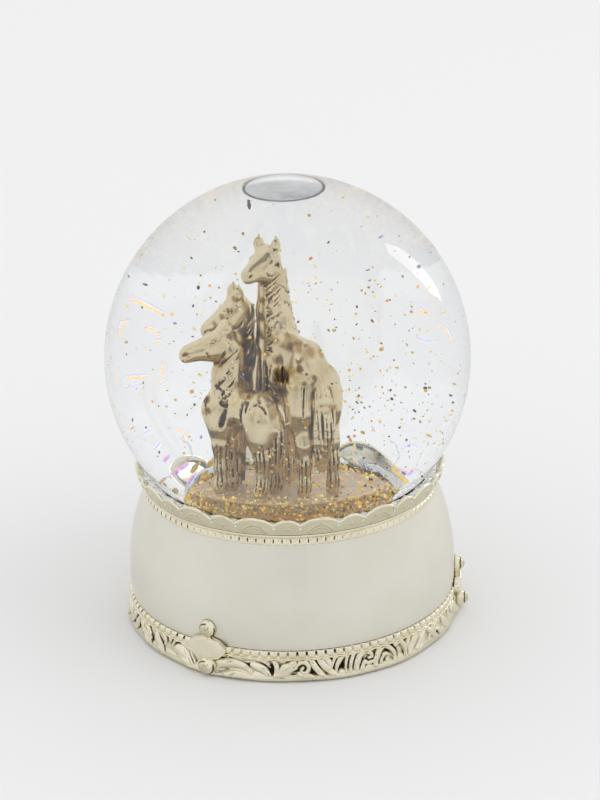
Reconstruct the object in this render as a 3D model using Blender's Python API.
# Wind-up musical snow globe: a glass sphere on a drum base, three horses inside,
# and an eighteen-note spring movement under the deck.
# +Z is up and -Y is the front. The origin is the centre of the face it stands on.
# All sizes below are millimetres; add_object() turns them into metres.
import math
import bpy
import bmesh
from mathutils import Vector, Matrix

MM = 0.001
GAP = 0.3               # clearance between neighbouring pieces

# ---------------------------------------------------------------- globe
GLOBE_R = 50.0
GLOBE_Z = 75.5          # height of its centre
WALL = 1.8
GLOBE_INNER_R = GLOBE_R - WALL
NECK_R = 31.0
NECK_Z = 29.0           # open end of the neck
LEVEL_Z = 122.35        # liquid level, leaving a bubble under the crown
PLINTH_R = 20.5
PLINTH_Z = 48.7         # top of the plinth
HOOF_Z = PLINTH_Z + GAP
ROUND_SEGS = 32         # large turned pieces
RING_SEGS = 40          # base shell and its rings

# ---------------------------------------------------------------- base
ORNAMENT_AZ = (-30.0, 87.0, 208.0)      # degrees from -Y towards +X
POST_CIRCLE_R = 36.0
POST_XY = [(POST_CIRCLE_R * math.cos(math.radians(90 + 120 * i)),
            POST_CIRCLE_R * math.sin(math.radians(90 + 120 * i))) for i in range(3)]
MOVEMENT_SCREW_XY = [(-26.5, 10.5), (10.0, 11.5)]
SCREW_HOLE_R = 1.3

# ---------------------------------------------------------------- movement
BED_Z = 11.2            # underside of the bedplate
BED_TOP = 12.6
STAND_Z = BED_TOP + GAP     # underside of what stands on the bedplate
DRIVE_X = -14.0         # winding and spring axis, vertical at y = 0
DRIVE_AT = (DRIVE_X, 0, 13.0)
WINDING_AT = (DRIVE_X, 0, 6.0)
CYL_Z = 18.66           # tune cylinder axis, along X at y = 0
CYL_AT = (10.0, 0, CYL_Z)
CROWN_TEETH = 24
PINION_TEETH = 8
CROWN_R = 11.0          # pitch radius of the crown teeth
PINION_R = CROWN_R * PINION_TEETH / CROWN_TEETH
NOTES = 18
BARREL_X0, BARREL_X1 = 1.6, 19.6        # ends of the tune cylinder
BARREL_R = 5.2
BORE_R = 1.1            # bores on the cylinder arbor
TRAIN_MODULE = 0.3      # great wheel and governor pinion
GREAT_TEETH = 36
GOV_TEETH = 9
GOV_Y = TRAIN_MODULE * (GREAT_TEETH + GOV_TEETH) / 2
GOV_AT = (22, GOV_Y, CYL_Z)
WORM_MODULE = 0.3
WORM_TEETH = 18
WORM_R = 1.2            # pitch radius of the worm
FLY_X = 23.8
FLY_Y = GOV_Y + WORM_MODULE * WORM_TEETH / 2 + WORM_R
FLY_AT = (FLY_X, FLY_Y, CYL_Z)

# ---------------------------------------------------------------- finishes
GLASS = dict(color=(0.95, 0.97, 0.98), roughness=0.02, transmission=1.0, ior=1.5)
LIQUID = dict(color=(0.95, 0.97, 1.0), roughness=0.0, transmission=1.0, ior=1.33)
GOLD = dict(color=(0.78, 0.70, 0.52), roughness=0.18, metallic=1.0)
PLATED = dict(color=(0.86, 0.82, 0.70), roughness=0.12, metallic=1.0)
SATIN = dict(color=(0.80, 0.78, 0.72), roughness=0.38, metallic=0.9)
BRASS = dict(color=(0.78, 0.60, 0.30), roughness=0.28, metallic=1.0)
STEEL = dict(color=(0.62, 0.62, 0.64), roughness=0.25, metallic=1.0)
ZINC = dict(color=(0.55, 0.56, 0.58), roughness=0.45, metallic=1.0)
RUBBER = dict(color=(0.82, 0.82, 0.80), roughness=0.7)
FELT = dict(color=(0.12, 0.12, 0.13), roughness=0.95)
BOARD = dict(color=(0.16, 0.15, 0.15), roughness=0.6)
GLITTER = dict(color=(0.80, 0.62, 0.28), roughness=0.35, metallic=0.8)

for old in list(bpy.data.objects):
    bpy.data.objects.remove(old, do_unlink=True)
scene = bpy.context.scene


def make_material(name, color, roughness, metallic=0.0, transmission=0.0, ior=1.45):
    mat = bpy.data.materials.new(name)
    mat.use_nodes = True
    inputs = mat.node_tree.nodes["Principled BSDF"].inputs
    inputs["Base Color"].default_value = (*color, 1.0)
    inputs["Roughness"].default_value = roughness
    inputs["Metallic"].default_value = metallic
    inputs["Transmission Weight"].default_value = transmission
    inputs["IOR"].default_value = ior
    mat.diffuse_color = (*color, 1.0)
    return mat


# ---------------------------------------------------------------- objects
def clean(mesh):
    """Weld coincident vertices and face every side outwards."""
    bmesh.ops.remove_doubles(mesh, verts=mesh.verts, dist=1e-4)
    bmesh.ops.recalc_face_normals(mesh, faces=mesh.faces)


def link_mesh(mesh, name):
    """Turn a bmesh into a linked object, using the bmesh up."""
    data = bpy.data.meshes.new(name)
    mesh.to_mesh(data)
    mesh.free()
    obj = bpy.data.objects.new(name, data)
    scene.collection.objects.link(obj)
    return obj


def attach(obj, parent):
    """Parent an object without moving it."""
    obj.parent = parent
    obj.matrix_parent_inverse = parent.matrix_world.inverted()


def add_object(name, mesh, finish, parent=None, origin=(0, 0, 0), sharp=35.0):
    """Finished piece from a mesh in world millimetres; sharp is an edge angle in degrees."""
    clean(mesh)
    origin = Vector(origin)
    for vert in mesh.verts:
        vert.co = (vert.co - origin) * MM
    obj = link_mesh(mesh, name)
    obj.data.shade_smooth()
    obj.data.set_sharp_from_angle(angle=math.radians(sharp))
    obj.data.materials.append(make_material("mat_" + name, **finish))
    if parent is not None:
        attach(obj, parent)
    obj.location = origin * MM


def add_pivot(name, at, parent=None):
    """Empty on an axis; the pieces that turn together hang from it."""
    empty = bpy.data.objects.new(name, None)
    empty.empty_display_size = 0.004
    scene.collection.objects.link(empty)
    empty.location = Vector(at) * MM
    if parent is not None:
        attach(empty, parent)
    bpy.context.view_layer.update()     # children read its world matrix
    return empty


# ---------------------------------------------------------------- shapes
def turned(profile, segs, closed=False, at=(0, 0), axis="Z"):
    """Spin a profile of (radius, height); closed joins its last point to its first."""
    mesh = bmesh.new()
    verts = [mesh.verts.new((radius, 0, z)) for radius, z in profile]
    ends = verts[1:] + verts[:1] if closed else verts[1:]
    edges = [mesh.edges.new(pair) for pair in zip(verts, ends)]
    bmesh.ops.spin(mesh, geom=verts + edges, cent=(0, 0, 0), axis=(0, 0, 1),
                   angle=2 * math.pi, steps=segs, use_merge=True)
    bmesh.ops.remove_doubles(mesh, verts=mesh.verts, dist=1e-4)
    if axis == "X":
        bmesh.ops.rotate(mesh, verts=mesh.verts, cent=(0, 0, 0),
                         matrix=Matrix.Rotation(math.radians(90), 3, "Y"))
    bmesh.ops.translate(mesh, verts=mesh.verts, vec=Vector(at).to_3d())
    return mesh


def cylinder(radius, start, end, segs, at=(0, 0), axis="Z"):
    return turned([(0, start), (radius, start), (radius, end), (0, end)], segs, at=at, axis=axis)


def circle(radius, count, at=(0, 0)):
    return [(at[0] + radius * math.cos(2 * math.pi * i / count),
             at[1] + radius * math.sin(2 * math.pi * i / count)) for i in range(count)]


def globe_arc(radius, z_from, z_to, steps):
    """(radius, height) points of a sphere about the globe's centre, between two heights."""
    start, end = (math.asin(max(-1, min(1, (z - GLOBE_Z) / radius))) for z in (z_from, z_to))
    angles = [start + (end - start) * i / steps for i in range(steps + 1)]
    return [(radius * math.cos(angle), GLOBE_Z + radius * math.sin(angle)) for angle in angles]


def plate(outline, holes, z0, z1):
    """Flat sheet with holes, from outlines in XY, between two heights."""
    mesh = bmesh.new()
    edges = []
    for loop in [outline] + list(holes):
        verts = [mesh.verts.new((x, y, z0)) for x, y in loop]
        edges += [mesh.edges.new(pair) for pair in zip(verts, verts[1:] + verts[:1])]
    bmesh.ops.triangle_fill(mesh, edges=edges, use_beauty=True, use_dissolve=False)
    extruded = bmesh.ops.extrude_face_region(mesh, geom=list(mesh.faces))
    raised = [part for part in extruded["geom"] if isinstance(part, bmesh.types.BMVert)]
    bmesh.ops.translate(mesh, verts=raised, vec=(0, 0, z1 - z0))
    return mesh


def box(x0, x1, y0, y1, z0, z1):
    return plate([(x0, y0), (x1, y0), (x1, y1), (x0, y1)], [], z0, z1)


def moved(mesh, rotation, at):
    matrix = Matrix.Translation(Vector(at)) @ rotation.to_4x4()
    bmesh.ops.transform(mesh, matrix=matrix, verts=mesh.verts)
    return mesh


def x_plate(outline, holes, x0, x1, at=(0, 0, 0)):
    """Plate standing across the X axis; outline points are (y, z)."""
    across_x = Matrix(((0, 0, 1), (1, 0, 0), (0, 1, 0)))
    return moved(plate(outline, holes, x0, x1), across_x, at)


def skin(mesh, rings):
    """Join each ring of vertices to the next with quads."""
    for ring, following in zip(rings, rings[1:]):
        count = len(ring)
        for k in range(count):
            n = (k + 1) % count
            mesh.faces.new((ring[k], ring[n], following[n], following[k]))


def evaluated_bmesh(obj):
    """Bmesh of an object with its modifiers applied."""
    bpy.context.view_layer.update()
    evaluated = obj.evaluated_get(bpy.context.evaluated_depsgraph_get())
    data = bpy.data.meshes.new_from_object(evaluated)
    mesh = bmesh.new()
    mesh.from_mesh(data)
    bpy.data.meshes.remove(data)
    return mesh


def combine(base, others, operation):
    """Boolean of bmeshes; returns a new bmesh and uses up the old ones."""
    for mesh in [base] + others:
        clean(mesh)
    body = link_mesh(base, "boolean_body")
    tools = [link_mesh(other, "boolean_tool") for other in others]
    for tool in tools:
        modifier = body.modifiers.new("cut", "BOOLEAN")
        modifier.operation = operation
        modifier.object = tool
        modifier.solver = "EXACT"
    result = evaluated_bmesh(body)
    for obj in [body] + tools:
        bpy.data.objects.remove(obj, do_unlink=True)
    return result


def largest_body(mesh):
    """Drop all but the largest connected body of a cut mesh."""
    unvisited = set(mesh.verts)
    bodies = []
    while unvisited:
        seed = unvisited.pop()
        body, stack = {seed}, [seed]
        while stack:
            vert = stack.pop()
            for edge in vert.link_edges:
                other = edge.other_vert(vert)
                if other in unvisited:
                    unvisited.discard(other)
                    body.add(other)
                    stack.append(other)
        bodies.append(body)
    largest = max(bodies, key=len)
    scraps = [vert for vert in mesh.verts if vert not in largest]
    if scraps:
        bmesh.ops.delete(mesh, geom=scraps, context="VERTS")
    return mesh


# ---------------------------------------------------------------- glass, stopper, plinth
# Profiles are (radius, height).
STOPPER = [(0, 27.0), (30.9, 27.0), (30.9, 28.7), (28.8, 28.7), (28.8, 35.4), (28.2, 36.0),
           (0, 36.0)]
GASKET = [(32.4, 36.2), (36.6, 36.2), (36.6, 41.0), (32.4, 36.9)]
GLITTER_BED = [(15.0, 36.3), (28.6, 36.3), (28.8, 37.6), (31.5, 39.7), (36.2, 44.5),
               (30.0, 43.6), (22.0, 44.4), (15.0, 44.4)]
PLINTH = [(0, 36.3), (13.8, 36.3), (13.8, 44.9), (20.2, 45.3), (PLINTH_R, 45.7),
          (PLINTH_R, 48.2), (20.1, PLINTH_Z), (0, PLINTH_Z)]


def glass_globe():
    """Blown sphere, open downwards through a straight neck."""
    neck_inner_r = NECK_R - WALL
    neck_top = GLOBE_Z - math.sqrt(GLOBE_R ** 2 - NECK_R ** 2)
    neck_top_inner = GLOBE_Z - math.sqrt(GLOBE_INNER_R ** 2 - neck_inner_r ** 2)
    crown = GLOBE_Z + GLOBE_R
    crown_inner = GLOBE_Z + GLOBE_INNER_R
    profile = [(0, crown)] + globe_arc(GLOBE_R, crown, neck_top, 13)[1:]
    profile += [(NECK_R, NECK_Z), (neck_inner_r, NECK_Z)]
    profile += globe_arc(GLOBE_INNER_R, neck_top_inner, crown_inner, 12)[:-1]
    profile += [(0, crown_inner)]
    return turned(profile, ROUND_SEGS)


def build_globe():
    add_object("glass_globe", glass_globe(), GLASS, sharp=50)
    add_object("globe_stopper", turned(STOPPER, ROUND_SEGS), RUBBER)
    add_object("globe_gasket", turned(GASKET, ROUND_SEGS, closed=True), RUBBER)
    add_object("settled_glitter", turned(GLITTER_BED, 30, closed=True), GLITTER)
    add_object("figurine_plinth", turned(PLINTH, ROUND_SEGS), GOLD)


# ---------------------------------------------------------------- horses
# A horse is a list of tapered rods: (start, start radius, end, end radius).
# Stations are (forward, left, up, radius) from its spot on the plinth; each chain of
# stations makes a row of rods. Heading is in degrees from +Y towards -X.
# Shoulder, haunch and legs are given for the left side and mirrored.
# leg_shifts moves the lower (hind, fore) leg forward, first on the left, then the right.
# The head is placed in world directions: poll is its root, facing points to the muzzle.
TALL_HORSE = dict(
    spot=(1.6, 0.0), heading=30,
    trunk=[[(6.2, 0, 21.6, 5.1), (-4.2, 0, 22.4, 4.8)],
           [(5.2, 0, 25.8, 2.7), (-5.6, 0, 25.3, 3.2)],
           [(7.2, 0, 24.2, 4.6), (7.6, .5, 33.8, 3.1), (6.3, 1.6, 43.6, 2.3)],
           [(5.0, 0, 27.2, 2.0), (6.4, .3, 34.8, 2.0), (5.5, 1.2, 44.2, 1.8)]],
    shoulder=[(7.4, 1.6, 20.6, 4.0), (5.4, 2.0, 17.6, 3.4)],
    haunch=[(-6.6, 2.1, 22.6, 4.0), (-7.4, 2.2, 18.2, 3.8)],
    hind=[(-7.2, 2.4, 19.4, 3.9), (-5.8, 3.0, 14.6, 2.9), (-9.2, 3.3, 9.6, 1.55),
          (-8.9, 3.4, 2.8, 1.15), (-8.4, 3.4, 0.9, 1.5)],
    fore=[(7.0, 2.6, 17.2, 3.2), (7.0, 2.9, 13.0, 2.3), (7.8, 2.7, 8.6, 1.45),
          (7.8, 2.7, 2.8, 1.1), (8.3, 2.7, 0.9, 1.45)],
    leg_shifts=((-0.7, -0.4), (0.5, 0.5)),
    tail=[(-10.2, 0, 24.0, 1.2), (-12.4, .4, 20.0, 1.8), (-12.0, .8, 12.0, 1.7),
          (-11.6, 1.0, 7.6, .8)],
    head=dict(poll=(-3.6, 5.0, 96.3), facing=(-.66, -.60, -.34), roll=18, length=8.8,
              poll_r=2.3, cheek_r=2.35, muzzle_r=1.35,
              ear_length=3.7, ear_spread=2.2, ear_dir=(.12, .30, .95)))
MARE = dict(
    spot=(-6.0, 13.0), heading=128,
    trunk=[[(4.6, 0, 18.0, 4.1), (-4.6, 0, 18.6, 4.0)],
           [(4.0, 0, 20.9, 2.3), (-5.2, 0, 20.8, 2.8)],
           [(5.4, 0, 19.8, 4.2), (5.6, .6, 27.2, 3.3), (5.0, 1.4, 33.0, 2.5)],
           [(3.4, 0, 22.6, 2.0), (3.4, .4, 29.0, 2.0), (4.0, 1.2, 34.0, 1.8)]],
    shoulder=[(5.6, 1.4, 17.0, 3.3), (4.6, 1.7, 14.6, 2.8)],
    haunch=[(-5.8, 1.7, 18.6, 3.4), (-6.2, 1.8, 15.2, 3.1)],
    hind=[(-6.2, 1.9, 15.8, 3.1), (-5.0, 2.4, 11.8, 2.3), (-7.6, 2.5, 8.0, 1.35),
          (-7.4, 2.5, 2.6, 1.0), (-6.9, 2.5, 0.9, 1.35)],
    fore=[(5.5, 2.0, 14.2, 2.6), (5.7, 2.3, 10.6, 1.9), (6.1, 2.2, 7.2, 1.25),
          (6.1, 2.2, 2.6, 1.0), (6.6, 2.2, 0.9, 1.3)],
    tail=[(-8.6, 0, 19.6, 1.0), (-10.2, 0, 16.0, 1.4), (-9.8, 0, 8.6, 1.0)],
    head=dict(poll=(-10.6, 9.4, 83.8), facing=(-.72, -.36, -.74), roll=14, length=9.2,
              poll_r=2.1, cheek_r=2.3, muzzle_r=1.3,
              ear_length=3.0, ear_spread=1.35, ear_dir=(.10, .10, .98)))
FOAL = dict(
    spot=(-9.2, -2.4), heading=57,
    trunk=[[(4.0, 0, 16.8, 3.9), (-3.2, 0, 17.4, 3.8)],
           [(3.8, 0, 18.2, 3.3), (4.4, -.5, 23.2, 2.6), (3.6, -.8, 27.6, 2.0)],
           [(2.2, 0, 19.8, 1.7), (2.4, -.5, 25.4, 1.7), (2.6, -.8, 28.6, 1.5)]],
    shoulder=[(5.2, 1.2, 16.0, 3.3), (4.2, 1.5, 13.4, 2.8)],
    haunch=[(-4.2, 1.5, 16.9, 3.3), (-4.8, 1.7, 14.2, 3.1)],
    hind=[(-4.8, 1.8, 14.6, 3.0), (-4.0, 2.3, 10.8, 2.3), (-6.0, 2.7, 7.4, 1.5),
          (-5.8, 2.9, 2.4, 1.3), (-5.2, 3.0, 0.9, 1.6)],
    fore=[(4.6, 1.9, 12.8, 2.4), (4.4, 2.1, 9.0, 1.8), (4.6, 2.1, 6.0, 1.35),
          (4.6, 2.2, 2.4, 1.2), (5.2, 2.3, 0.9, 1.5)],
    tail=[(-7.0, 0, 18.4, 1.0), (-8.2, .2, 14.0, 1.4), (-7.6, .3, 8.4, 1.1)],
    head=dict(poll=(-12.8, 0.4, 79.4), facing=(-.93, -.16, -.32), roll=8, length=10.0,
              poll_r=1.75, cheek_r=2.0, muzzle_r=1.2,
              ear_length=2.2, ear_spread=1.15, ear_dir=(.35, .10, .90)))
FINE_VOXEL = 0.45       # the horses themselves
COARSE_VOXEL = 0.6      # swollen copies used for cutting
HORSE_SPACING = 0.55    # swell of a horse when it is cut from its neighbour
POCKET_SWELL = 1.6      # swell of the horses in the liquid


def head_rods(poll, facing, roll, length, poll_r, cheek_r, muzzle_r,
              ear_length, ear_spread, ear_dir):
    norm = math.sqrt(sum(v * v for v in facing))
    ahead = [v / norm for v in facing]
    flat = math.hypot(ahead[0], ahead[1])
    level_side = (-ahead[1] / flat, ahead[0] / flat, 0)
    level_up = (-ahead[2] * ahead[0] / flat, -ahead[2] * ahead[1] / flat, flat)
    cos_roll, sin_roll = math.cos(math.radians(roll)), math.sin(math.radians(roll))
    side = [level_side[i] * cos_roll + level_up[i] * sin_roll for i in range(3)]
    top = [-level_side[i] * sin_roll + level_up[i] * cos_roll for i in range(3)]

    def point(x, y, z):
        return tuple(poll[i] + ahead[i] * x + side[i] * y + top[i] * z for i in range(3))

    rods = [(point(0, 0, 0), poll_r, point(.36 * length, 0, -.10 * length), cheek_r),
            (point(.30 * length, 0, -.16 * length), cheek_r * 1.02,
             point(.72 * length, 0, -.05 * length), muzzle_r * 1.08),
            (point(0, 0, .04 * length), poll_r * .9,
             point(.85 * length, 0, .03 * length), muzzle_r * .82),
            (point(.72 * length, 0, -.05 * length), muzzle_r,
             point(.90 * length, 0, -.06 * length), muzzle_r * .95)]
    for s in (1, -1):
        root = point(-.02 * length, ear_spread * s, poll_r * .62)
        tip = tuple(root[i] + ear_dir[i] * ear_length + side[i] * s * .10 * ear_length
                    for i in range(3))
        middle = tuple(root[i] + (tip[i] - root[i]) * .5 + side[i] * s * .08 * ear_length
                       for i in range(3))
        rods.append((root, .075 * length, middle, .09 * length))
        rods.append((middle, .09 * length, tip, .035 * length))
        eye_y = cheek_r * .80 * s
        rods.append((point(.26 * length, eye_y, .06 * length), .08 * length,
                     point(.31 * length, eye_y, .055 * length), .075 * length))
    return rods


def horse_rods(spot, heading, trunk, shoulder, haunch, hind, fore, tail, head,
               leg_shifts=((0, 0), (0, 0))):
    angle = math.radians(heading)
    ahead = (-math.sin(angle), math.cos(angle))
    left = (-math.cos(angle), -math.sin(angle))

    def to_world(x, y, z):
        return (spot[0] + ahead[0] * x + left[0] * y,
                spot[1] + ahead[1] * x + left[1] * y, PLINTH_Z + z)

    def chain(stations, side=1):
        ends = [(to_world(x, y * side, z), radius) for x, y, z, radius in stations]
        return [(*start, *end) for start, end in zip(ends, ends[1:])]

    def shift_lower(leg, shift):
        return leg[:2] + [(x + shift, y, z, radius) for x, y, z, radius in leg[2:]]

    rods = [rod for stations in trunk for rod in chain(stations)]
    for side, (hind_shift, fore_shift) in zip((1, -1), leg_shifts):
        for stations in (shoulder, haunch, shift_lower(hind, hind_shift),
                         shift_lower(fore, fore_shift)):
            rods += chain(stations, side)
    return rods + chain(tail) + head_rods(**head)


def unit_ball():
    ball = bmesh.new()
    bmesh.ops.create_icosphere(ball, subdivisions=2, radius=1.0)
    points = [vert.co.copy() for vert in ball.verts]
    ball.free()
    return points


def append_mesh(mesh, part):
    """Add a bmesh to another, using the part up."""
    data = bpy.data.meshes.new("part")
    part.to_mesh(data)
    part.free()
    mesh.from_mesh(data)
    bpy.data.meshes.remove(data)


def cast(rods, swell, voxel, triangles, extra=None):
    """Weld tapered rods into one skin with a voxel remesh, then thin it to a triangle count."""
    ball = unit_ball()
    mesh = bmesh.new()
    for start, start_r, end, end_r in rods:
        rod = bmesh.new()
        for centre, radius in ((start, start_r + swell), (end, end_r + swell)):
            for direction in ball:
                rod.verts.new(Vector(centre) + direction * radius)
        hull = bmesh.ops.convex_hull(rod, input=rod.verts)
        inside = {part for part in hull["geom_interior"] + hull["geom_unused"]
                  if isinstance(part, bmesh.types.BMVert)}
        bmesh.ops.delete(rod, geom=list(inside), context="VERTS")
        append_mesh(mesh, rod)
    if extra is not None:
        append_mesh(mesh, extra)
    obj = link_mesh(mesh, "cast")
    remesh = obj.modifiers.new("skin", "REMESH")
    remesh.mode = "VOXEL"
    remesh.voxel_size = voxel
    bpy.context.view_layer.update()
    evaluated = obj.evaluated_get(bpy.context.evaluated_depsgraph_get())
    full_count = sum(len(face.vertices) - 2 for face in evaluated.data.polygons)
    decimate = obj.modifiers.new("thin", "DECIMATE")
    decimate.ratio = min(1.0, triangles / full_count)
    result = evaluated_bmesh(obj)
    bpy.data.objects.remove(obj, do_unlink=True)
    return result


def flat_soles(mesh):
    """Cut off what is below the hoof level and close the cut."""
    geom = list(mesh.verts) + list(mesh.edges) + list(mesh.faces)
    bmesh.ops.bisect_plane(mesh, geom=geom, plane_co=(0, 0, HOOF_Z), plane_no=(0, 0, 1),
                           clear_inner=True)
    bmesh.ops.holes_fill(mesh, edges=[e for e in mesh.edges if e.is_boundary], sides=0)
    bmesh.ops.triangulate(mesh, faces=mesh.faces)
    return mesh


def build_horses(tall, mare, foal):
    """The foal makes room for the tall horse, and the mare for both."""
    def figure(rods, triangles):
        return flat_soles(cast(rods, 0.0, FINE_VOXEL, triangles))

    def room_for(rods, triangles):
        return cast(rods, HORSE_SPACING, COARSE_VOXEL, triangles)

    foal_mesh = combine(figure(foal, 600), [room_for(tall, 900)], "DIFFERENCE")
    mare_mesh = combine(figure(mare, 600), [room_for(tall, 900), room_for(foal, 800)],
                        "DIFFERENCE")
    for name, mesh in (("tall_horse", figure(tall, 700)), ("mare", mare_mesh),
                       ("foal", foal_mesh)):
        add_object(name, largest_body(mesh), GOLD, sharp=60)


def build_liquid(rods):
    """Fill of the sphere; its pocket for the horses opens downwards, round the plinth."""
    liquid_r = GLOBE_INNER_R - 2 * GAP
    surface_r = math.sqrt(liquid_r ** 2 - (LEVEL_Z - GLOBE_Z) ** 2)
    recess_r = PLINTH_R + 2 * GAP
    profile = [(0, LEVEL_Z), (surface_r, LEVEL_Z)]
    profile += globe_arc(liquid_r, LEVEL_Z, 45.2, 11)[1:]
    profile += [(30.0, 44.1), (recess_r, 44.9), (recess_r, 49.4), (0, 49.4)]
    pocket = cast(rods, POCKET_SWELL, COARSE_VOXEL, 900, extra=cylinder(20.0, 47.5, 49.9, 24))
    fill = combine(turned(profile, ROUND_SEGS), [pocket], "DIFFERENCE")
    add_object("liquid_fill", largest_body(fill), LIQUID, sharp=50)


# ---------------------------------------------------------------- base shell and rings
# Profiles are (radius, height).
SHELL = [(40.2, 37.9), (41.0, 35.7), (42.4, 32.0), (43.5, 28.0), (44.4, 23.5), (44.95, 18.0),
         (45.0, 12.0), (44.7, 9.3), (42.9, 9.3), (43.1, 14.0), (42.1, 24.0), (39.6, 33.4),
         (31.5, 33.4), (31.5, 35.9), (38.4, 35.9), (38.4, 37.9)]
# The post's blind hole opens downwards; its side wall is bridged in afterwards.
POST = [(SCREW_HOLE_R, 11.2), (2.8, 11.2), (2.8, 34.4), (0, 34.4), (0, 20.0),
        (SCREW_HOLE_R, 20.0)]
RINGS = (
    ("collar_ring", PLATED, [(41.2, 41.1), (41.6, 43.6), (42.6, 46.0), (42.4, 46.3),
                             (41.1, 46.2), (39.3, 43.7), (37.6, 41.1)]),
    ("upper_bead_band", PLATED, [(38.8, 38.2), (40.5, 38.2), (40.9, 39.5), (40.7, 40.8),
                                 (38.8, 40.8)]),
    ("lower_bead_band", PLATED, [(43.0, 6.9), (44.9, 6.9), (45.2, 7.95), (44.9, 9.0),
                                 (43.0, 9.0)]),
    ("foot_ring", PLATED, [(44.6, 6.6), (45.4, 5.2), (45.8, 3.2), (45.4, 1.5), (44.9, 0.4),
                           (43.7, 0.4), (43.7, 1.4), (39.6, 1.4), (39.6, 6.6)]),
    ("felt_ring", FELT, [(39.9, 0.0), (43.3, 0.0), (43.3, 1.1), (39.9, 1.1)]),
)
# Ornament plaque: (sideways, up)
PLAQUE = [(-5.2, 0), (-3.5, -2.5), (0, -3.1), (3.5, -2.5), (5.2, 0), (3.6, 1.9), (0, 2.2),
          (-3.6, 1.9)]
# Studs: (radius, distance out from the seat)
STUD_TOP = [(0, 0), (2.2, 0), (2.6, 0.7), (2.45, 1.6), (1.9, 2.5), (1.0, 3.1), (0, 3.3)]
STUD_BOTTOM = [(0, 0), (0.9, 0), (0.9, 1.1), (1.9, 1.1), (2.3, 1.6), (2.2, 2.3), (1.7, 2.9),
               (0.9, 3.25), (0, 3.35)]


def screw_post(at):
    post = turned(POST, 12, at=at)
    bmesh.ops.bridge_loops(post, edges=[edge for edge in post.edges if edge.is_boundary])
    return post


def build_base():
    posts = [screw_post(at) for at in POST_XY]
    add_object("base_body", combine(turned(SHELL, RING_SEGS, closed=True), posts, "UNION"), SATIN)
    for name, finish, profile in RINGS:
        add_object(name, turned(profile, RING_SEGS, closed=True), finish)


def build_ornaments():
    """Three groups round the base: a lozenge with a stud above and below."""
    for i, azimuth in enumerate(ORNAMENT_AZ, 1):
        angle = math.radians(azimuth)
        out = Vector((math.sin(angle), -math.cos(angle), 0))
        sideways = Vector((math.cos(angle), math.sin(angle), 0))
        facing_out = Matrix((sideways, Vector((0, 0, 1)), out)).transposed()
        for name, mesh, seat_r, z in (("plaque", plate(PLAQUE, [], 0.0, 0.8), 46.1, 8.3),
                                      ("stud_top", turned(STUD_TOP, 10), 45.35, 13.5),
                                      ("stud_bottom", turned(STUD_BOTTOM, 10), 46.0, 2.5)):
            at = out * seat_r + Vector((0, 0, z))
            add_object("%s_%d" % (name, i), moved(mesh, facing_out, at), PLATED)


# ---------------------------------------------------------------- bottom plate and screws
def add_screws(name, places, face, seat, tip, head_r, shank_r):
    """Numbered screws; face, seat and tip are the heights of head face, head seat and point."""
    inward = 1 if tip > face else -1
    profile = [(0, face), (head_r * .7, face), (head_r, face + .3 * inward), (head_r, seat),
               (shank_r, seat), (shank_r, tip - .8 * inward), (shank_r * .4, tip), (0, tip)]
    for i, at in enumerate(places, 1):
        add_object("%s_%d" % (name, i), turned(profile, 10, at=at), STEEL)


def build_bottom():
    holes = [circle(4.0, 20, (DRIVE_X, 0))]
    holes += [circle(SCREW_HOLE_R, 10, at) for at in POST_XY + MOVEMENT_SCREW_XY]
    add_object("bottom_plate", plate(circle(42.4, 48), holes, 9.4, 10.9), BOARD)
    add_screws("plate_screw", POST_XY, face=7.9, seat=9.1, tip=18.0, head_r=2.4, shank_r=1.0)
    add_screws("movement_screw", MOVEMENT_SCREW_XY, face=7.9, seat=9.1, tip=12.4,
               head_r=2.2, shank_r=1.0)


# ---------------------------------------------------------------- movement: fixed parts
# Bedplate: (x, y)
BEDPLATE = [(-28.5, -12), (-24, -18), (24, -18), (26, -16), (26, 15.4), (-24, 15.4),
            (-28.5, 11)]
# Spring housing: (radius, height)
HOUSING = [(13.4, 25.0), (13.4, STAND_Z), (12.8, STAND_Z), (12.8, 24.4), (1.9, 24.4),
           (1.9, 25.0)]
# Upright plates: (y, z)
LEFT_BRACKET = [(-4, STAND_Z), (4, STAND_Z), (3, 21.4), (2, 22.2), (-2, 22.2), (-3, 21.4)]
GOVERNOR_PLATE = [(-4, STAND_Z), (10.0, STAND_Z), (9.0, 21.4), (8.0, 22.2), (-2, 22.2),
                  (-3, 21.4)]
GOVERNOR_FRAME = [(9.0, STAND_Z), (15.2, STAND_Z), (15.2, 26.0), (9.0, 26.0), (9.0, 25.1),
                  (14.2, 25.1), (14.2, 13.9), (9.0, 13.9)]
COMB_X0, COMB_X1 = 1.2, 20.0
COMB_BACK_Y = -17.5
COMB_TIP_Y = -6.05      # free ends of the tongues
COMB_SCREW_XY = [(5.0, -15.6), (16.0, -15.6)]


def build_bed():
    holes = [circle(1.9, 16, (DRIVE_X, 0))]
    holes += [circle(SCREW_HOLE_R, 10, at) for at in MOVEMENT_SCREW_XY]
    add_object("bedplate", plate(BEDPLATE, holes, BED_Z, BED_TOP), ZINC)


def spring_housing():
    """Can open below, with a window on its +X side."""
    can = turned(HOUSING, 32, closed=True, at=(DRIVE_X, 0))
    window = box(DRIVE_X + 9, DRIVE_X + 15, -5.0, 5.0, 12.0, 23.6)
    return combine(can, [window], "DIFFERENCE")


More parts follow.
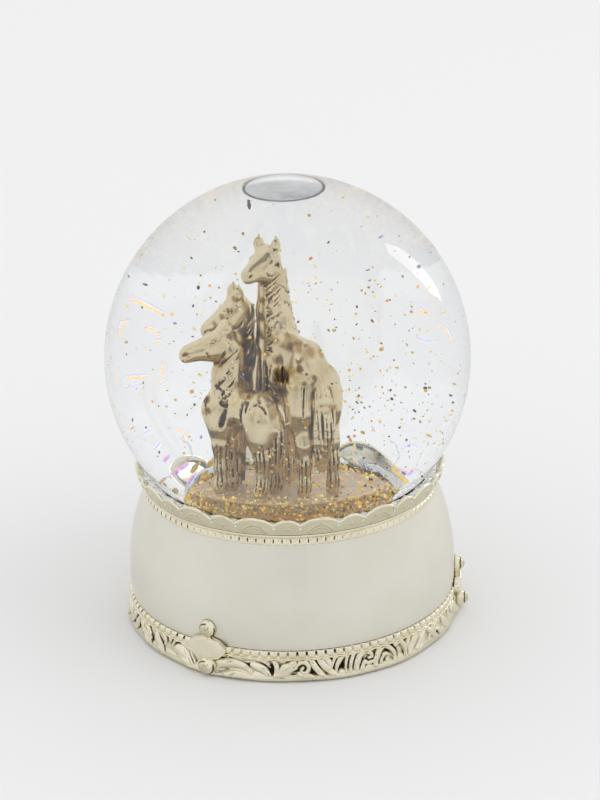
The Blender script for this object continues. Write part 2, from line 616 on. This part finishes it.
def mainspring():
    """Flat clock spring: a spiral strip of constant height."""
    turns, steps, thickness = 4.0, 52, 0.45
    inner_r, growth = 2.6, 5.8
    z0, z1 = 16.3, 23.4
    mesh = bmesh.new()
    rings = []
    for i in range(steps + 1):
        part = i / steps
        angle = 2 * math.pi * turns * part
        radius = inner_r + growth * part
        rings.append([mesh.verts.new((DRIVE_X + (radius + depth) * math.cos(angle),
                                      (radius + depth) * math.sin(angle), z))
                      for depth, z in ((0, z0), (thickness, z0), (thickness, z1), (0, z1))])
    skin(mesh, rings)
    mesh.faces.new(rings[0])
    mesh.faces.new(rings[-1][::-1])
    return mesh


def governor_frame():
    """C frame open towards -Y, bored above and below for the fly spindle."""
    frame = x_plate(GOVERNOR_FRAME, [], 22.9, 24.9)
    bores = [cylinder(0.75, z0, z1, 12, at=(FLY_X, FLY_Y))
             for z0, z1 in ((12.0, 14.5), (24.5, 27.0))]
    return combine(frame, bores, "DIFFERENCE")


def build_supports():
    arbor_hole = circle(BORE_R, 14, (0, CYL_Z))
    governor_hole = circle(0.8, 12, (GOV_Y, CYL_Z))
    add_object("left_bracket", x_plate(LEFT_BRACKET, [arbor_hole], -0.2, 0.9), BRASS)
    add_object("governor_plate",
               x_plate(GOVERNOR_PLATE, [arbor_hole, governor_hole], 21.6, 22.6), BRASS)
    add_object("governor_frame", governor_frame(), BRASS)


def comb_outline():
    """Back strip with a tongue per note; the slots deepen towards the +X end."""
    outline = [(COMB_X0, COMB_BACK_Y), (COMB_X1, COMB_BACK_Y)]
    pitch = (BARREL_X1 - BARREL_X0) / NOTES
    for i in range(NOTES):
        x = BARREL_X1 - i * pitch
        right, left = x - .12, x - .78      # sides of the tongue
        root = -11.4 - 1.6 * (1 - i / NOTES)
        outline += [(right, root), (right, COMB_TIP_Y), (left, COMB_TIP_Y), (left, root)]
    return outline


def build_comb():
    holes = [circle(1.2, 10, at) for at in COMB_SCREW_XY]
    block = [(COMB_X0, COMB_BACK_Y), (COMB_X1, COMB_BACK_Y), (COMB_X1, -13.4), (COMB_X0, -13.4)]
    add_object("comb", plate(comb_outline(), holes, 17.9, 18.7), STEEL)
    add_object("comb_block", plate(block, holes, STAND_Z, 17.6), ZINC)
    add_screws("comb_screw", COMB_SCREW_XY, face=20.0, seat=19.0, tip=13.6,
               head_r=1.7, shank_r=0.9)


# ---------------------------------------------------------------- movement: winding axis
KEY_ARBOR = [(0, 6.5), (1.5, 6.5), (1.5, 25.3), (1.2, 25.6), (0, 25.6)]     # (radius, height)
# Key wings: (x from the axis, height)
KEY_WINGS = [(-12.6, 2.4), (-11.4, 1.3), (-8.5, 1.0), (-4.0, 1.8),
             (4.0, 1.8), (8.5, 1.0), (11.4, 1.3), (12.6, 2.4),
             (12.6, 5.4), (11.4, 6.5), (8.5, 6.8), (4.0, 6.2),
             (-4.0, 6.2), (-8.5, 6.8), (-11.4, 6.5), (-12.6, 5.4)]
KEY_HUB = [(0, 2.0), (2.7, 2.0), (3.0, 2.4), (3.0, 8.9), (0, 8.9)]          # (radius, height)


def crown_wheel():
    """Wheel whose teeth stand up from its rim."""
    mesh = bmesh.new()
    underside, top, gap_z = DRIVE_AT[2], 13.9, 13.95
    tooth_z = CYL_Z - PINION_R + 0.8
    rings = []
    for i in range(CROWN_TEETH):
        centre = 2 * math.pi / CROWN_TEETH * i
        for offset, z in ((-0.80, gap_z), (-0.30, tooth_z), (0.30, tooth_z), (0.80, gap_z)):
            angle = centre + offset / CROWN_R
            section = [(1.9, underside), (12.2, underside), (12.2, z), (9.8, z), (9.8, top),
                       (1.9, top)]
            rings.append([mesh.verts.new((DRIVE_X + radius * math.cos(angle),
                                          radius * math.sin(angle), height))
                          for radius, height in section])
    skin(mesh, rings + rings[:1])
    return mesh


def clutch_spring():
    """Split spring washer that grips the arbor; the split faces +X."""
    angles = [math.radians(20 + 320 * i / 18) for i in range(19)]
    outer, inner = ([(DRIVE_X + radius * math.cos(angle), radius * math.sin(angle))
                     for angle in angles] for radius in (4.8, 2.1))
    return plate(outer + inner[::-1], [], 14.3, 14.9)


def winding_key():
    """Butterfly key: two pierced wings on a bored hub."""
    eyes = [[(side * 8.4 + 2.4 * x, 3.9 + 1.5 * y) for x, y in circle(1.0, 10)]
            for side in (-1, 1)]
    upright = Matrix(((1, 0, 0), (0, 0, -1), (0, 1, 0)))
    blade = moved(plate(KEY_WINGS, eyes, -0.8, 0.8), upright, (DRIVE_X, 0, 0))
    hub = turned(KEY_HUB, 16, at=(DRIVE_X, 0))
    bore = cylinder(1.8, 5.9, 9.6, 16, at=(DRIVE_X, 0))
    return combine(combine(hub, [blade], "UNION"), [bore], "DIFFERENCE")


def build_winding():
    drive = add_pivot("drive_axis", DRIVE_AT)
    add_object("crown_wheel", crown_wheel(), BRASS, drive, DRIVE_AT)
    add_object("clutch_spring", clutch_spring(), STEEL, drive, DRIVE_AT)
    winding = add_pivot("winding_axis", WINDING_AT, parent=drive)
    arbor = turned(KEY_ARBOR, 16, at=(DRIVE_X, 0))
    add_object("key_arbor", arbor, STEEL, winding, WINDING_AT)
    add_object("winding_key", winding_key(), BRASS, winding, WINDING_AT)


# ---------------------------------------------------------------- movement: gears
def x_gear(teeth, root_r, tip_r, root_width, tip_width, phase, x0, x1, y=0, bore_r=None):
    """Gear on an X axis at cylinder height, with straight-flanked teeth.

    Widths are arc lengths; phase is the first tooth's angle in degrees from +Y towards +Z.
    """
    outline = []
    for i in range(teeth):
        centre = math.radians(phase) + 2 * math.pi * i / teeth
        for radius, width in ((root_r, -root_width), (tip_r, -tip_width),
                              (tip_r, tip_width), (root_r, root_width)):
            angle = centre + width / (2 * radius)
            outline.append((radius * math.cos(angle), radius * math.sin(angle)))
    holes = [circle(bore_r, 12)] if bore_r else []
    return x_plate(outline, holes, x0, x1, (0, y, CYL_Z))


def cylinder_pinion():
    """Pinion with a leaf in the gap between two crown teeth."""
    return x_gear(PINION_TEETH, PINION_R - 0.97, PINION_R + 0.78, 1.25, 0.55,
                  phase=-90.0 + 180.0 / PINION_TEETH, x0=-4.1, x1=-1.9, bore_r=BORE_R)


def great_wheel():
    pitch_r = TRAIN_MODULE * GREAT_TEETH / 2
    return x_gear(GREAT_TEETH, pitch_r - 0.36, pitch_r + 0.27, 0.50, 0.20,
                  phase=5.0, x0=19.9, x1=21.1, bore_r=BORE_R)


def governor_pinion():
    """Nine leaves cut on the governor arbor."""
    pitch_r = TRAIN_MODULE * GOV_TEETH / 2
    leaves = x_gear(GOV_TEETH, pitch_r - 0.36, pitch_r + 0.27, 0.42, 0.18,
                    phase=180.0, x0=19.8, x1=21.2, y=GOV_Y)
    arbor = cylinder(0.5, 19.5, 25.3, 10, at=(0, GOV_Y, CYL_Z), axis="X")
    return combine(leaves, [arbor], "UNION")


def worm_wheel():
    """Wheel with a tooth pointing straight at the worm."""
    pitch_r = WORM_MODULE * WORM_TEETH / 2
    return x_gear(WORM_TEETH, pitch_r - 0.42, pitch_r + 0.24, 0.44, 0.20,
                  phase=0.0, x0=FLY_X - 0.4, x1=FLY_X + 0.4, y=GOV_Y, bore_r=0.8)


# ---------------------------------------------------------------- movement: cylinder
def tune_cylinder():
    """Bored drum; chosen cells of its surface are drawn out into pins."""
    mesh = bmesh.new()
    segs = 16

    def ring(x, radius):
        return [mesh.verts.new((x, radius * math.cos(2 * math.pi * i / segs),
                                CYL_Z + radius * math.sin(2 * math.pi * i / segs)))
                for i in range(segs)]

    outer = [ring(BARREL_X0 + (BARREL_X1 - BARREL_X0) * j / NOTES, BARREL_R)
             for j in range(NOTES + 1)]
    bore = [ring(x, BORE_R) for x in (BARREL_X0, BARREL_X1)]
    cells = {}
    for j in range(NOTES):
        for i in range(segs):
            k = (i + 1) % segs
            cells[j, i] = mesh.faces.new((outer[j][i], outer[j + 1][i],
                                          outer[j + 1][k], outer[j][k]))
    for i in range(segs):
        k = (i + 1) % segs
        mesh.faces.new((outer[0][i], outer[0][k], bore[0][k], bore[0][i]))
        mesh.faces.new((outer[-1][i], bore[1][i], bore[1][k], outer[-1][k]))
        mesh.faces.new((bore[0][i], bore[0][k], bore[1][k], bore[1][i]))
    mesh.normal_update()

    # one pin per note, and a second on every other note
    first = [(j * 7 + 3 * (j % 4)) % segs for j in range(NOTES)]
    second = [(j * 5 + 9) % segs for j in range(NOTES)]
    chosen = [cells[j, first[j]] for j in range(NOTES)]
    chosen += [cells[j, second[j]] for j in range(1, NOTES, 2) if second[j] != first[j]]
    for face in chosen:
        centre = face.calc_center_median()
        out = Vector((0, centre.y, centre.z - CYL_Z)).normalized()
        bmesh.ops.inset_individual(mesh, faces=[face], thickness=0.30)
        for top in bmesh.ops.extrude_discrete_faces(mesh, faces=[face])["faces"]:
            middle = top.calc_center_median()
            for vert in top.verts:
                vert.co = middle + (vert.co - middle) * 0.7 + out * 0.5
    return mesh


def build_cylinder():
    pivot = add_pivot("cylinder_axis", CYL_AT)
    arbor = cylinder(0.8, -4.6, 23.0, 14, at=(0, 0, CYL_Z), axis="X")
    add_object("cylinder_pinion", cylinder_pinion(), BRASS, pivot, CYL_AT)
    add_object("cylinder_arbor", arbor, STEEL, pivot, CYL_AT)
    add_object("tune_cylinder", tune_cylinder(), BRASS, pivot, CYL_AT)
    add_object("great_wheel", great_wheel(), BRASS, pivot, CYL_AT)


# ---------------------------------------------------------------- movement: governor
def fly():
    """Spindle with a one-start worm and two air vanes."""
    mesh = bmesh.new()
    lead = math.pi * WORM_MODULE
    segs, steps_per_turn, turns = 12, 6, 3
    spindle_r, root_r, thread_height = 0.45, 0.85, 0.60
    z0, z1 = CYL_Z - turns / 2 * lead, CYL_Z + turns / 2 * lead
    angles = [2 * math.pi * i / segs for i in range(segs)]

    def thread_r(angle, z):
        # the crest facing the wheel (-Y) is half a lead from the wheel's centre line
        part = ((z - CYL_Z) / lead - (angle + math.pi / 2) / (2 * math.pi) + 0.5) % 1.0
        from_crest = min(part, 1 - part)
        return root_r + thread_height * max(0.0, min(1.0, (0.25 - from_crest) / 0.11))

    def ring(z, radii):
        return [mesh.verts.new((FLY_X + radius * math.cos(angle),
                                FLY_Y + radius * math.sin(angle), z))
                for angle, radius in zip(angles, radii)]

    spindle, root = [spindle_r] * segs, [root_r] * segs
    rings = [ring(13.3, spindle), ring(z0 - 0.15, spindle), ring(z0 - 0.1, root)]
    steps = turns * steps_per_turn
    for k in range(steps + 1):
        z = z0 + (z1 - z0) * k / steps
        rings.append(ring(z, [thread_r(angle, z) for angle in angles]))
    rings += [ring(z1 + 0.1, root), ring(z1 + 0.15, spindle), ring(25.7, spindle)]
    skin(mesh, rings)
    mesh.faces.new(rings[0][::-1])
    mesh.faces.new(rings[-1])
    vanes = box(FLY_X - 2.9, FLY_X + 2.9, FLY_Y - 0.15, FLY_Y + 0.15, 22.7, 24.7)
    return combine(mesh, [vanes], "UNION")


def build_governor():
    governor = add_pivot("governor_axis", GOV_AT)
    add_object("governor_pinion", governor_pinion(), STEEL, governor, GOV_AT)
    add_object("worm_wheel", worm_wheel(), BRASS, governor, GOV_AT)
    add_object("fly", fly(), STEEL, add_pivot("fly_axis", FLY_AT), FLY_AT)


# ---------------------------------------------------------------- build
build_globe()
tall_rods, mare_rods, foal_rods = (horse_rods(**horse) for horse in (TALL_HORSE, MARE, FOAL))
build_horses(tall_rods, mare_rods, foal_rods)
build_liquid(tall_rods + mare_rods + foal_rods)
build_base()
build_ornaments()
build_bottom()
build_bed()
add_object("spring_housing", spring_housing(), STEEL)
add_object("mainspring", mainspring(), STEEL)
build_supports()
build_comb()
build_winding()
build_cylinder()
build_governor()
